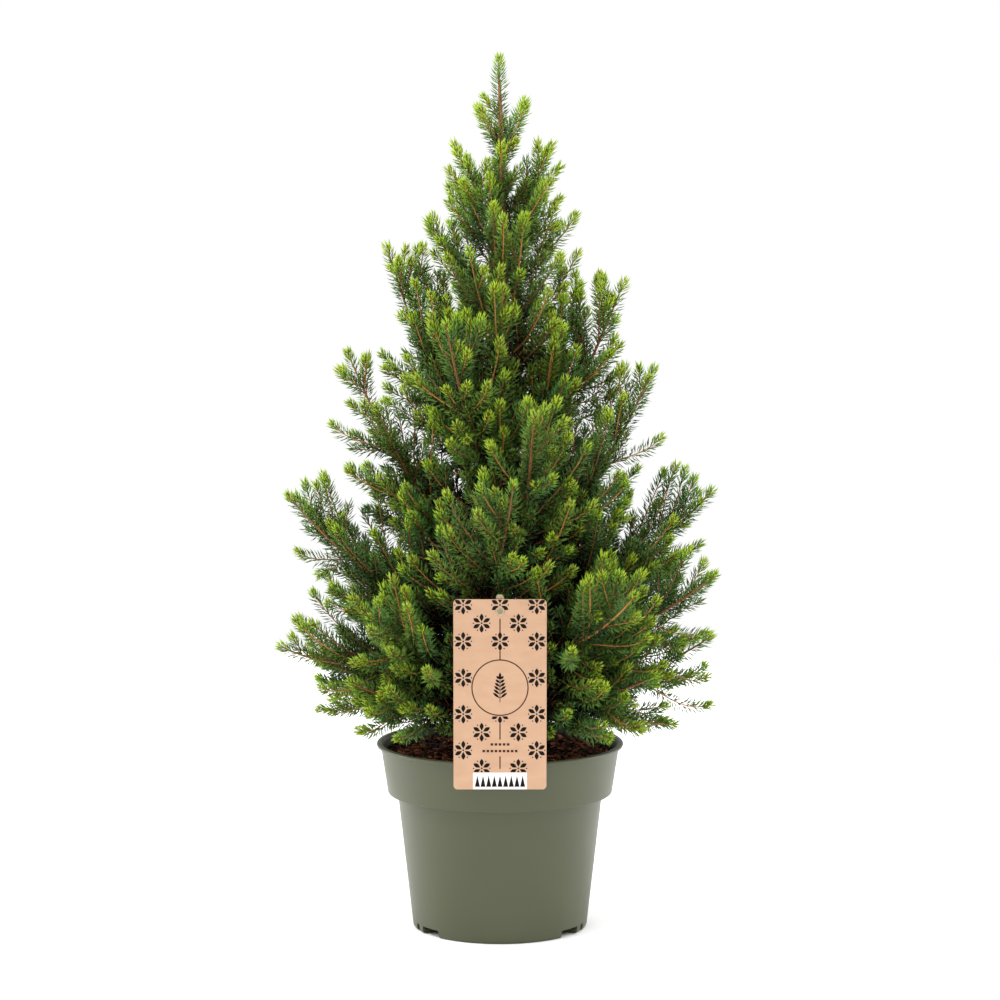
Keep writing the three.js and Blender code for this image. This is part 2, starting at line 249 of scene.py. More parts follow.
def along(path, where):
    """Points and directions at distances along a path."""
    reach = path_lengths(path)
    points = np.stack([np.interp(where, reach, path[:, i]) for i in range(3)], axis=-1)
    tangents = unit(np.gradient(path, axis=0))
    ways = np.stack([np.interp(where, reach, tangents[:, i]) for i in range(3)], axis=-1)
    return points, unit(ways)


def sideways(ways):
    """Two directions across each tangent, without a flip along one shoot."""
    mean = unit(ways.mean(axis=0))
    reference = np.eye(3)[np.argmin(np.abs(mean))]
    side = unit(np.cross(ways, reference))
    return side, np.cross(ways, side)


def outward_at(point):
    """The level direction from the axis out to a point."""
    return unit(np.array((point[0], point[1], 0)) + 1e-6)


def full_turn(sides):
    """Angles of places evenly spaced round a circle."""
    return np.linspace(0, 2 * np.pi, sides, endpoint=False)


def spokes(ways, sides):
    """Directions out to the corners of a ring across each tangent."""
    side, lift = sideways(ways)
    angle = full_turn(sides)
    return np.cos(angle)[None, :, None] * side[:, None] + np.sin(angle)[None, :, None] * lift[:, None]


def at_height(line, height):
    """The point of an upright line at a height."""
    return np.array([np.interp(height, line[:, 2], line[:, i]) for i in range(3)])


# ---- meshes

def new_object(name, data):
    piece = bpy.data.objects.new(name, data)
    SCENE.collection.objects.link(piece)
    return piece


def face_outwards(mesh, weld=0.0):
    """Turns a closed mesh's faces outwards, once corners closer than weld are joined."""
    work = bmesh.new()
    work.from_mesh(mesh)
    if weld:
        bmesh.ops.remove_doubles(work, verts=work.verts, dist=weld)
        bmesh.ops.dissolve_degenerate(work, edges=work.edges, dist=0.1 * weld)
    bmesh.ops.recalc_face_normals(work, faces=work.faces)
    work.to_mesh(mesh)
    work.free()


def mesh_object(name, vertices, faces, materials, indices=None, smooth=True):
    """A mesh object from arrays: faces all have the same number of corners."""
    mesh = bpy.data.meshes.new(name)
    faces = np.asarray(faces, np.int32)
    mesh.vertices.add(len(vertices))
    mesh.vertices.foreach_set("co", np.asarray(vertices, np.float32).ravel())
    mesh.loops.add(faces.size)
    mesh.loops.foreach_set("vertex_index", faces.ravel())
    mesh.polygons.add(len(faces))
    mesh.polygons.foreach_set("loop_start", np.arange(0, faces.size, faces.shape[1], dtype=np.int32))
    for material in materials:
        mesh.materials.append(material)
    if indices is not None:
        mesh.polygons.foreach_set("material_index", np.asarray(indices, np.int32))
    mesh.polygons.foreach_set("use_smooth", np.full(len(faces), smooth))
    mesh.update(calc_edges=True)
    return new_object(name, mesh)


def joined(parts):
    """Several meshes as one, from pairs of vertex and face arrays."""
    starts = np.cumsum([0] + [len(vertices) for vertices, _ in parts[:-1]])
    faces = [faces + start for (_, faces), start in zip(parts, starts)]
    return np.concatenate([vertices for vertices, _ in parts]), np.concatenate(faces)


def grid_faces(rings, sides, closed_rings=False):
    """Quads between successive rings of points; closed_rings joins the last ring to the first."""
    count = rings if closed_rings else rings - 1
    i, j = np.meshgrid(np.arange(count), np.arange(sides), indexing="ij")
    i, j = i.ravel(), j.ravel()
    following, turn = (i + 1) % rings, (j + 1) % sides
    near, far = i * sides, following * sides
    return np.stack([near + j, near + turn, far + turn, far + j], axis=1)


def capped_tube(rings, sides):
    """Triangles of a closed tube: rings of points, then one point for each end."""
    quads = grid_faces(rings, sides)
    j = np.arange(sides)
    following = (j + 1) % sides
    last, foot = (rings - 1) * sides, rings * sides
    foot_cap = np.stack([np.full(sides, foot), following, j], axis=1)
    tip_cap = np.stack([np.full(sides, foot + 1), last + j, last + following], axis=1)
    return np.concatenate([quads[:, [0, 1, 2]], quads[:, [0, 2, 3]], foot_cap, tip_cap])


def lathe(name, profile, materials, sides):
    """A closed ring of [radius, height] points turned about Z. The profile runs round the section."""
    profile = np.asarray(profile, float)
    angle, radius = full_turn(sides), profile[:, None, 0]
    height = np.repeat(profile[:, 1:2], sides, axis=1)
    points = np.stack([radius * np.cos(angle), radius * np.sin(angle), height], axis=-1)
    faces = grid_faces(len(profile), sides, closed_rings=True)
    piece = mesh_object(name, points.reshape(-1, 3), faces, materials)
    face_outwards(piece.data, weld=1e-6)
    piece.data.set_sharp_from_angle(angle=SMOOTH_ANGLE)
    return piece


def rounded(corners, steps=5):
    """A closed section of (radius, height, fillet) corners with its corners turned into arcs."""
    section = []
    count = len(corners)
    for i, (x, z, fillet) in enumerate(corners):
        here = np.array((x, z))
        if fillet == 0:
            section.append(here)
            continue
        before = unit(np.array(corners[i - 1][:2]) - here)
        after = unit(np.array(corners[(i + 1) % count][:2]) - here)
        half = math.acos(np.clip(before @ after, -1, 1)) / 2
        run = fillet / math.tan(half)
        centre = here + unit(before + after) * fillet / math.sin(half)
        start, end = here + before * run - centre, here + after * run - centre
        turn = math.atan2(start[0] * end[1] - start[1] * end[0], start @ end)
        for step in np.linspace(0, turn, steps):
            c, s = math.cos(step), math.sin(step)
            section.append(centre + np.array((c * start[0] - s * start[1], s * start[0] + c * start[1])))
    return section


def finish_piece(piece, slot, *nodes):
    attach(piece, "root")
    if nodes:
        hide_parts(*nodes)
    return piece


# ---- materials

def new_material(name, colour, roughness, **sockets):
    material = bpy.data.materials.new(name)
    material.use_nodes = True
    shader = material.node_tree.nodes["Principled BSDF"]
    shader.inputs["Base Color"].default_value = colour
    shader.inputs["Roughness"].default_value = roughness
    for socket, value in sockets.items():
        shader.inputs[socket.replace("_", " ")].default_value = value
    return material


def noise_node(tree, scale, detail=4.0, stretch=(1, 1, 1)):
    """A noise texture in object space, in features per metre."""
    coordinates = tree.nodes.new("ShaderNodeTexCoord")
    mapping = tree.nodes.new("ShaderNodeMapping")
    mapping.inputs["Scale"].default_value = stretch
    texture = tree.nodes.new("ShaderNodeTexNoise")
    texture.inputs["Scale"].default_value = scale
    texture.inputs["Detail"].default_value = detail
    tree.links.new(coordinates.outputs["Object"], mapping.inputs["Vector"])
    tree.links.new(mapping.outputs["Vector"], texture.inputs["Vector"])
    return texture.outputs["Fac"]


def ramp_node(tree, source, stops):
    """A colour ramp from a value, with (position, colour) stops."""
    ramp = tree.nodes.new("ShaderNodeValToRGB")
    elements = ramp.color_ramp.elements
    while len(elements) < len(stops):
        elements.new(0.5)
    for element, (position, colour) in zip(elements, stops):
        element.position = position
        element.color = colour
    tree.links.new(source, ramp.inputs["Fac"])
    return ramp.outputs["Color"]


def grey(value):
    return (value, value, value, 1.0)


def patterned(name, stops, roughness, scale, detail=5.0, stretch=(1, 1, 1), bump=0.3, bump_scale=None,
              bump_depth=0.2 * MM, **sockets):
    """A material with a noisy colour, from (position, sRGB colour) stops, and a finer bump."""
    stops = [(position, srgb(colour)) for position, colour in stops]
    material = new_material(name, stops[0][1], roughness[0], **sockets)
    tree = material.node_tree
    shader = tree.nodes["Principled BSDF"]
    pattern = noise_node(tree, scale, detail, stretch)
    tree.links.new(ramp_node(tree, pattern, stops), shader.inputs["Base Color"])
    rough = ramp_node(tree, pattern, [(0.3, grey(roughness[0])), (0.7, grey(roughness[1]))])
    tree.links.new(rough, shader.inputs["Roughness"])
    fine = noise_node(tree, bump_scale or 4 * scale, detail, stretch)
    bumps = tree.nodes.new("ShaderNodeBump")
    bumps.inputs["Strength"].default_value = bump
    bumps.inputs["Distance"].default_value = bump_depth
    tree.links.new(fine, bumps.inputs["Height"])
    tree.links.new(bumps.outputs["Normal"], shader.inputs["Normal"])
    return material


# ---- camera, light and floor

def aimed(name, data, place, target):
    """A camera or light that stands at a place and looks at a target."""
    piece = new_object(name, data)
    piece.location = place
    piece.rotation_euler = (Vector(target) - piece.location).to_track_quat("-Z", "Y").to_euler()
    return piece


def make_camera():
    data = bpy.data.cameras.new("camera")
    data.lens = CAMERA_LENS
    data.sensor_width = 36.0
    data.clip_start = 0.05
    SCENE.camera = aimed("camera", data, CAMERA_AT, CAMERA_AIM)


def area_light(name, place, aim, size, power):
    data = bpy.data.lights.new(name, "AREA")
    data.shape = "RECTANGLE"
    data.size, data.size_y = size
    data.energy = power
    aimed(name, data, place, aim)


def make_stage():
    world = bpy.data.worlds.new("studio")
    world.use_nodes = True
    background = world.node_tree.nodes["Background"]
    background.inputs["Color"].default_value = (1.0, 1.0, 1.0, 1.0)
    background.inputs["Strength"].default_value = 1.0
    SCENE.world = world
    SCENE.view_settings.view_transform = "Standard"
    white = new_material("studio_white", (0.96, 0.96, 0.96, 1.0), 0.9)
    angle = full_turn(96)
    edge = np.stack([FLOOR_RADIUS * np.cos(angle), FLOOR_RADIUS * np.sin(angle), 0 * angle], axis=1)
    floor = mesh_object("floor", edge, [tuple(range(96))], [white], smooth=False)
    for light in LIGHTS:
        area_light(*light)


# ---- reading the frame

def node_points(name):
    """A CAD node's own vertices and triangles."""
    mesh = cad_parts[name].data
    points = np.empty(len(mesh.vertices) * 3)
    mesh.vertices.foreach_get("co", points)
    mesh.calc_loop_triangles()
    triangles = np.empty(len(mesh.loop_triangles) * 3, np.int32)
    mesh.loop_triangles.foreach_get("vertices", triangles)
    matrix = np.array(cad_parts[name].matrix_world)
    points = points.reshape(-1, 3) @ matrix[:3, :3].T + matrix[:3, 3]
    keys, index = np.unique(np.round(points, 6), axis=0, return_inverse=True)
    triangles = index.reshape(-1)[triangles.reshape(-1, 3)]
    return keys, triangles[(triangles[:, 0] != triangles[:, 1]) & (triangles[:, 1] != triangles[:, 2])]


def tree_of(points, triangles):
    return BVHTree.FromPolygons([tuple(p) for p in points], [tuple(int(i) for i in t) for t in triangles])


def surface_samples(points, triangles, per_edge=5):
    """Points spread over a mesh's triangles, with each one's share of the area."""
    weights = [(a, b) for a in range(per_edge) for b in range(per_edge - a)]
    grid = np.array([((a + 1 / 3) / per_edge, (b + 1 / 3) / per_edge) for a, b in weights])
    p, q, r = (points[triangles[:, i]] for i in range(3))
    area = np.linalg.norm(np.cross(q - p, r - p), axis=1)
    spread = p[:, None] + grid[None, :, :1] * (q - p)[:, None] + grid[None, :, 1:] * (r - p)[:, None]
    return spread.reshape(-1, 3), np.repeat(area, len(grid))


def trunk_line():
    """The trunk's centre line and radius, ring by ring, from its foot to its tip."""
    points, _ = node_points("trunk")
    points = points[np.argsort(points[:, 2])]
    breaks = np.where(np.diff(points[:, 2]) > 2.5 * MM)[0] + 1
    rings = np.split(points, breaks)
    centres = np.array([ring.mean(axis=0) for ring in rings])
    radii = [np.median(np.linalg.norm(ring[:, :2] - c[:2], axis=1)) for ring, c in zip(rings, centres)]
    return centres, np.array(radii)


def bough_line(name, stations=5):
    """A bough's centre line from the trunk outwards and its mean radius at each station."""
    points, triangles = node_points(name)
    samples, weights = surface_samples(points, triangles)
    distance = np.linalg.norm(samples[:, :2], axis=1)
    inner = samples[distance < distance.min() + 2 * MM].mean(axis=0)
    outer = samples[distance > distance.max() - 2 * MM].mean(axis=0)
    way = unit(outer - inner)
    share = (samples - inner) @ way / np.linalg.norm(outer - inner)
    centres, radii = [], []
    for station in np.linspace(0.08, 0.92, stations):
        near = np.abs(share - station) < 0.12
        centre = np.average(samples[near], axis=0, weights=weights[near])
        offset = samples[near] - centre
        offset -= (offset @ way)[:, None] * way
        centres.append(centre)
        radii.append(np.average(np.linalg.norm(offset, axis=1), weights=weights[near]))
    path = np.array(centres)
    return np.vstack([inner, path, outer]), np.array([radii[0], *radii, radii[-1]])


def shoot_tips(points, triangles, apart=13 * MM, sharpness=0.42):
    """The mass's outstanding corners, sharpest first, each with the direction that it points in."""
    neighbours = [set() for _ in points]
    normal = np.zeros_like(points)
    for a, b, c in triangles:
        neighbours[a].update((b, c))
        neighbours[b].update((a, c))
        neighbours[c].update((a, b))
        face = np.cross(points[b] - points[a], points[c] - points[a])
        for corner in (a, b, c):
            normal[corner] += face
    found = []
    for i, near in enumerate(neighbours):
        if not near:
            continue
        lean = unit(points[sorted(near)] - points[i]).mean(axis=0)
        if lean @ normal[i] < 0 and np.linalg.norm(lean) > sharpness:
            found.append((np.linalg.norm(lean), tuple(points[i]), tuple(unit(-lean))))
    kept = []
    for _, point, way in sorted(found, reverse=True):
        if all(np.linalg.norm(np.subtract(point, other)) > apart for other, _ in kept):
            kept.append((np.array(point), np.array(way)))
    return kept


# ---- growth

class Shoot:
    """One shoot: its centre line, its radius at foot and tip, and how open to the light it stands."""

    def __init__(self, path, foot, tip, exposure, leafy_from):
        self.path = path
        self.length = path_lengths(path)[-1]
        self.foot, self.tip = foot, tip
        self.exposure = exposure
        self.leafy_from = leafy_from

    def radius_at(self, share):
        return self.foot + (self.tip - self.foot) * share


class Grower:
    """Grows one mass's limb, shoots and side shoots inside the mass's own outline."""

    def __init__(self, name, crown, seed):
        self.random = np.random.default_rng(seed)
        self.points, self.triangles = node_points("foliage_" + name)
        self.inside = tree_of(self.points, self.triangles)
        self.crown = crown
        self.shoots = []

    def exposure(self, point):
        """0 for a tip deep in the crown to 1 for one that stands in the open."""
        outward = outward_at(point)
        free = []
        for way in (outward, unit(outward + 0.7 * UP)):
            hit = self.crown.ray_cast(Vector(point + 6 * MM * way), Vector(way), OPEN_REACH)
            free.append(1.0 if hit[0] is None else hit[3] / OPEN_REACH * OPEN_SHARE)
        return max(free)

    def room(self, point, way, most):
        """How far a shoot can grow from a point inside the mass before it meets the mass's surface."""
        hit = self.inside.ray_cast(Vector(point), Vector(way), most)
        return most if hit[0] is None else hit[3]

    def by_label(self, path):
        """Which points of a path would come through or before the label."""
        across = np.abs(path[:, 0]) < LABEL_SPACE.half_width
        return across & (path[:, 1] < LABEL_SPACE.front) & (path[:, 2] < LABEL_SPACE.top)

    def add(self, path, foot, tip, exposure, leafy_from):
        """Keeps a shoot, lifted clear of the mix and the rim."""
        radius = np.hypot(path[:, 0], path[:, 1])
        lowest = np.interp(radius, LOWEST[0], LOWEST[1])
        if self.by_label(path).any():
            return None
        lifted = path.copy()
        lifted[:, 2] = np.maximum(path[:, 2], lowest)
        self.shoots.append(Shoot(lifted, foot, tip, exposure, leafy_from))
        return self.shoots[-1]

    def limb(self, start, way, lead, foot):
        """The bough's own line on through the mass to its leading tip."""
        span = np.linalg.norm(lead - start)
        end = unit(unit(lead - start) + SHOOT.limb_upturn * UP)
        count = max(6, int(span / SHOOT.step))
        path = sweep(start, way, lead, end, span, SHOOT.limb_handles, count)
        path[self.by_label(path), 1] = LABEL_SPACE.limb_front
        self.add(path, foot, SHOOT.limb_tip, 1.0, SHOOT.limb_leafy_from)
        return path

    def shoot_to(self, limb, target, way):
        """A shoot from the best place on the limb to a tip of the mass, sweeping upwards."""
        reach = path_lengths(limb)
        places, tangents = along(limb, SHOOT.stations * reach[-1])
        gap = target - places
        distance = np.linalg.norm(gap, axis=1)
        angle = np.arccos(np.clip((unit(gap) * tangents).sum(axis=1), -1, 1))
        too_long = np.maximum(distance - SHOOT.longest, 0)
        score = np.abs(angle - SHOOT.attach_angle) + too_long * SHOOT.far_cost
        score += self.random.uniform(0, SHOOT.choice_noise, len(score))
        best = int(np.argmin(score))
        start, tangent, span = places[best], tangents[best], distance[best]
        if span < SHOOT.shortest:
            return
        straight = unit(target - start)
        outward = outward_at(target)
        first = unit(straight + SHOOT.along_limb * tangent - SHOOT.sag * UP)
        last = unit(straight + SHOOT.upturn * UP + SHOOT.outturn * outward + SHOOT.tip_way * way)
        end = target - SHOOT.tip_short * last
        wobble = self.random.normal(0, SHOOT.wobble * span, (2, 3))
        count = max(4, int(span / SHOOT.step) + 1)
        path = sweep(start, first, end, last, span, SHOOT.handles, count, wobble)
        exposure = self.exposure(target)
        foot = min(SHOOT.foot_most, SHOOT.foot + SHOOT.foot_per_length * span)
        shoot = self.add(path, foot, SHOOT.tip, exposure, SHOOT.leafy_from)
        if shoot:
            self.side_shoots(shoot)

    def side_shoots(self, parent, spacing=SIDE.spacing, until=SIDE.to, longer=1.0,
                    bounded=True):
        """Short shoots to either side of a shoot and above it, shorter towards its tip."""
        first, last = SIDE.start * parent.length, until * parent.length
        count = int((last - first) / spacing)
        if count < 1:
            return
        stations = first + spacing * (np.arange(count) + self.random.uniform(0.2, 0.8))
        places, ways = along(parent.path, stations)
        side, lift = sideways(ways)
        turn = self.random.uniform(0, 2 * np.pi)
        for i in range(count):
            turn += GOLDEN + self.random.normal(0, SIDE.noise)
            across = math.cos(turn) * side[i] + math.sin(turn) * lift[i]
            across = unit(across + SIDE.upturn * UP)
            way = unit(math.cos(SIDE.angle) * ways[i] + math.sin(SIDE.angle) * across)
            wish = SIDE.length * (SIDE.first - SIDE.fall * i / count)
            wish = wish * self.random.uniform(*SIDE.range) * longer
            size = wish
            if bounded:
                room = self.room(places[i], way, wish + SIDE.probe)
                size = min(wish, room - SIDE.clear)
            if size < SIDE.shortest:
                continue
            end = places[i] + size * unit(way + SIDE.rise * UP)
            bend = places[i] + 0.5 * size * way - SIDE.sag * size * UP
            points = max(3, int(size / SHOOT.step) + 1)
            path = bezier(places[i], (places[i] + bend) / 2, bend, end, points)
            self.add(path, SIDE.foot, SIDE.tip, self.exposure(end), 0.0)

    def grow(self, start, way, foot, clear_of_lead=6 * MM, fill=SHOOT.fill_per_mass):
        from_start = self.points - start
        lead = self.points[np.argmax(np.linalg.norm(from_start, axis=1) + 0.6 * from_start @ way)]
        limb = self.limb(start, way, lead, foot)
        for target, point_way in shoot_tips(self.points, self.triangles):
            if np.linalg.norm(target - lead) > clear_of_lead:
                self.shoot_to(limb, target, point_way)
        self.fill(limb, fill)
        if self.shoots:
            self.side_shoots(self.shoots[0], spacing=SHOOT.limb_side_spacing)

    def fill(self, limb, wanted):
        """More shoots, to places spread over the mass's surface."""
        samples, weights = surface_samples(self.points, self.triangles, per_edge=3)
        chosen = self.random.choice(len(samples), 6 * wanted, p=weights / weights.sum())
        targets = []
        for target in samples[chosen]:
            if all(np.linalg.norm(target - other) > SHOOT.fill_apart for other in targets):
                targets.append(target)
        for target in targets[:wanted]:
            self.shoot_to(limb, target, outward_at(target))

    def from_trunk(self, line, outline):
        """Weaker shoots straight from the trunk, out to the crown's outline between the boughs."""
        low, high, probe = TRUNK_SHOOTS.low, TRUNK_SHOOTS.high, TRUNK_SHOOTS.probe
        reaches = TRUNK_SHOOTS.reaches[:, None]
        heights = np.arange(low, high, TRUNK_SHOOTS.spacing)
        for i, height in enumerate(heights):
            share = (height - low) / (high - low)
            start = at_height(line, height)
            turn = i * GOLDEN + self.random.normal(0, TRUNK_SHOOTS.turn_noise)
            rise = TRUNK_SHOOTS.rise + TRUNK_SHOOTS.rise_more * share
            rise = math.radians(rise + self.random.normal(0, TRUNK_SHOOTS.rise_noise))
            flat = np.array((math.cos(turn), math.sin(turn), 0.0))
            way = math.cos(rise) * flat + math.sin(rise) * UP
            hit = self.crown.ray_cast(Vector(start + probe * way), Vector(-way), probe)
            inside = depth_in(start + reaches * way, outline) > 0
            span = max(probe - hit[3] if hit[0] else 0.0, reaches[inside].max(initial=0.0))
            span *= self.random.uniform(*TRUNK_SHOOTS.share_of_reach)
            end = start + span * way
            across_label = abs(end[0]) < LABEL_SPACE.end_half_width and end[2] < LABEL_SPACE.end_top
            if span < TRUNK_SHOOTS.shortest or across_label and end[1] < LABEL_SPACE.end_front:
                continue
            first = unit(flat + TRUNK_SHOOTS.first_rise * UP)
            last = unit(way + TRUNK_SHOOTS.upturn * UP)
            count = int(span / SHOOT.step) + 1
            path = sweep(start, first, end, last, span, TRUNK_SHOOTS.handles, count)
            foot = SHOOT.foot + TRUNK_SHOOTS.foot_per_length * span
            shoot = self.add(path, foot, TRUNK_SHOOTS.tip, 1.0, TRUNK_SHOOTS.leafy_from)
            if shoot:
                self.side_shoots(
                    shoot, TRUNK_SHOOTS.side_spacing, TRUNK_SHOOTS.side_to, TRUNK_SHOOTS.side_longer,
                    bounded=False,
                )


# ---- twigs and needles

def depth_in(points, outline):
    """How far points lie inside the crown's mean outline, given as heights and radii."""
    return np.interp(points[:, 2], *outline) - np.hypot(points[:, 0], points[:, 1])


def twig_mesh(name, shoots, materials, seed, outline):
    """All of one mass's twigs as closed tapering tubes."""
    random = np.random.default_rng(seed)
    tubes, indices = [], []
    sides = SHOOT.sides
    for shoot in shoots:
        path = shoot.path
        tangents = unit(np.gradient(path, axis=0))
        radius = shoot.radius_at(path_lengths(path) / shoot.length)
        points = (path[:, None] + radius[:, None, None] * spokes(tangents, sides)).reshape(-1, 3)
        ends = path[:1], path[-1:] + SHOOT.point * tangents[-1:]
        triangles = capped_tube(len(path), sides)
        tubes.append((np.concatenate([points, *ends]), triangles))
        # painted shade: twigs that end deep in the crown get the darkest colour, and shaded shoots get the
        # older bark colour as thick ones do
        deep = depth_in(path[-1:], outline)[0] > SHOOT.deep_from
        old_or_shaded = shoot.foot > SHOOT.thick or shoot.exposure < SHOOT.shaded_under
        age_and_shade = 2 if deep else 1 if old_or_shaded or random.random() < SHOOT.brown_share else 0
        indices.append(np.full(len(triangles), age_and_shade))
    return mesh_object(name, *joined(tubes), materials, np.concatenate(indices))


def shoot_needles(shoot, random):
    """Feet, directions, lengths and distances from the tip of one shoot's needles."""
    tuft = min(NEEDLE.tuft, 0.5 * shoot.length)
    open_air = shoot.exposure
    pitch = NEEDLE.pitch_inner + (NEEDLE.pitch - NEEDLE.pitch_inner) * open_air
    if shoot.path[-1, 2] > LEADER_FROM:
        pitch = NEEDLE.pitch_leader
    body = np.arange(shoot.leafy_from * shoot.length, shoot.length - tuft, pitch)
    brush = np.arange(shoot.length - tuft, shoot.length, NEEDLE.tuft_pitch / (0.5 + 0.5 * open_air))
    where = np.concatenate([body, brush])
    shift = NEEDLE.place_noise
    where = np.clip(where + random.uniform(-shift, shift, len(where)) * pitch, 0, shoot.length)
    from_tip = shoot.length - where
    centre, ways = along(shoot.path, where)
    side, lift = sideways(ways)
    turn = random.uniform(0, 6.28) + GOLDEN * np.arange(len(where))
    turn += random.normal(0, NEEDLE.turn_noise, len(where))
    out = np.cos(turn)[:, None] * side + np.sin(turn)[:, None] * lift
    reach = np.clip(from_tip / NEEDLE.spread_over, 0, 1)
    spread = NEEDLE.spread_tip + NEEDLE.spread_more * reach ** 0.7
    spread = np.radians(spread + random.normal(0, NEEDLE.spread_noise, len(where)))
    way = np.cos(spread)[:, None] * ways + np.sin(spread)[:, None] * out
    way = unit(way + NEEDLE.upturn * UP)
    small = NEEDLE.size_tip
    size = NEEDLE.length * (small + (1 - small) * np.clip(from_tip / NEEDLE.size_over, 0, 1))
    size *= random.uniform(*NEEDLE.size_range, len(where))
    radius = shoot.radius_at(where / shoot.length)
    return centre + NEEDLE.sunk * radius[:, None] * out, way, out, size, from_tip


def needle_zone(from_tip, exposure, depth, height, random):
    """Which colour row a needle gets, from 0 at the tip to 4 in the dark: its age from the tip, with painted
    shade for shaded and deep needles and painted light near the top.
    """
    # painted shade from low exposure and depth, painted light from height, added to the needle's real age
    shade = 1 - exposure
    age_and_shade = from_tip * (1 + NEEDLE.shade_stretch * shade) + NEEDLE.shade_shift * shade
    age_and_shade += random.normal(0, NEEDLE.zone_noise, len(from_tip))
    high = np.clip((height - NEEDLE.high_from) / NEEDLE.high_over, 0, 1)
    age_and_shade *= 1 - NEEDLE.high_less * high
    dark = np.clip((depth - NEEDLE.dark_from) / NEEDLE.dark_over, 0, 1)
    age_and_shade = np.minimum(age_and_shade, NEEDLE.oldest) + NEEDLE.dark_shift * dark
    return np.digitize(age_and_shade, NEEDLE.zones)


def needle_mesh(name, shoots, materials, seed, outline):
    """All of one mass's needles: closed spindles of four faces, widest near the middle."""
    random = np.random.default_rng(seed)
    feet, ways, outs, sizes, colours = [], [], [], [], []
    for shoot in shoots:
        foot, way, out, size, from_tip = shoot_needles(shoot, random)
        depth = depth_in(foot, outline)
        seen = (depth < NEEDLE.thin_from) | (random.random(len(depth)) < NEEDLE.thin_share)
        foot, way, out, size, from_tip, depth = (v[seen] for v in (foot, way, out, size, from_tip, depth))
        zone = needle_zone(from_tip, shoot.exposure, depth, foot[:, 2], random)
        variant = random.integers(0, 3)
        feet.append(foot)
        ways.append(way)
        outs.append(out)
        sizes.append(size)
        colours.append(zone * 3 + variant)
    foot, way, out = np.concatenate(feet), np.concatenate(ways), np.concatenate(outs)
    size = np.concatenate(sizes)[:, None]
    across = unit(np.cross(way, out))
    flat = np.cross(across, way)
    tip = foot + size * way
    width = NEEDLE.half_width * random.uniform(*NEEDLE.size_range, len(foot))[:, None]
    roll = random.uniform(-NEEDLE.roll, NEEDLE.roll, len(foot))[:, None]
    blade = np.cos(roll) * across + np.sin(roll) * flat
    back = np.cos(roll) * flat - np.sin(roll) * across
    middle = foot + NEEDLE.middle * size * way + NEEDLE.bulge * width * back
    vertices = np.stack([foot, middle - width * blade, middle + width * blade, tip], axis=1).reshape(-1, 3)
    pattern = np.array([(0, 1, 2), (3, 2, 1), (0, 3, 1), (0, 2, 3)])
    faces = (pattern[None] + 4 * np.arange(len(foot))[:, None, None]).reshape(-1, 3)
    return mesh_object(name, vertices, faces, materials, np.repeat(np.concatenate(colours), 4))


# ---- trunk and boughs

def bark_relief(points, normals, depth, scale):
    """Moves points along their normals by flaky, upright bark."""
    moved = points.copy()
    for i, (point, normal) in enumerate(zip(points, normals)):
        spot = Vector((point[0] * scale, point[1] * scale, point[2] * scale * 0.45))
        plates = noise.voronoi(spot)[0]
        crack = min(1.0, (plates[1] - plates[0]) * 3.5)
        grain = noise.noise(spot * 2.7)
        moved[i] += normal * depth * (crack - 0.6 + 0.35 * grain)
    return moved


def bark_tube(name, path, radii, sides, step, depth, scale, material, flare=0.0):
    """A fine tube along a limb with its bark in relief."""
    reach = path_lengths(path)
    where = np.linspace(0, reach[-1], max(8, int(reach[-1] / step)))
    centre, ways = along(path, where)
    radius = np.interp(where, reach, radii)
    ring = spokes(ways, sides)
    swell = 1 + flare * np.exp(-where / (13 * MM))[:, None] * np.cos(5 * full_turn(sides) + 0.6)[None]
    points = centre[:, None] + (radius[:, None] * swell)[..., None] * ring
    points = bark_relief(points.reshape(-1, 3), ring.reshape(-1, 3), depth, scale)
    vertices = np.concatenate([points, centre[:1], centre[-1:]])
    return mesh_object(name, vertices, capped_tube(len(where), sides), [material])


def make_wood():
    bark = patterned(
        "spruce_bark",
        [(0.25, (80, 50, 32)), (0.5, (138, 94, 58)), (0.75, (176, 136, 94))],
        (0.75, 0.95), 260, stretch=(1, 1, 0.4), bump=0.6, bump_depth=0.3 * MM,
    )
    centres, radii = trunk_line()
    trunk = bark_tube("trunk_bark", centres, radii, 40, 1.4 * MM, 0.45 * MM, 420, bark, flare=0.14)
    finish_piece(trunk, "bark", "trunk")
    lines = {}
    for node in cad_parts:
        if node.startswith("bough_"):
            path, radius = bough_line(node)
            lines[node[len("bough_"):]] = (path, radius)
            piece = bark_tube(node + "_bark", path, radius, 16, 1.6 * MM, 0.25 * MM, 600, bark)
            finish_piece(piece, "bark", node)
    return centres, radii, lines


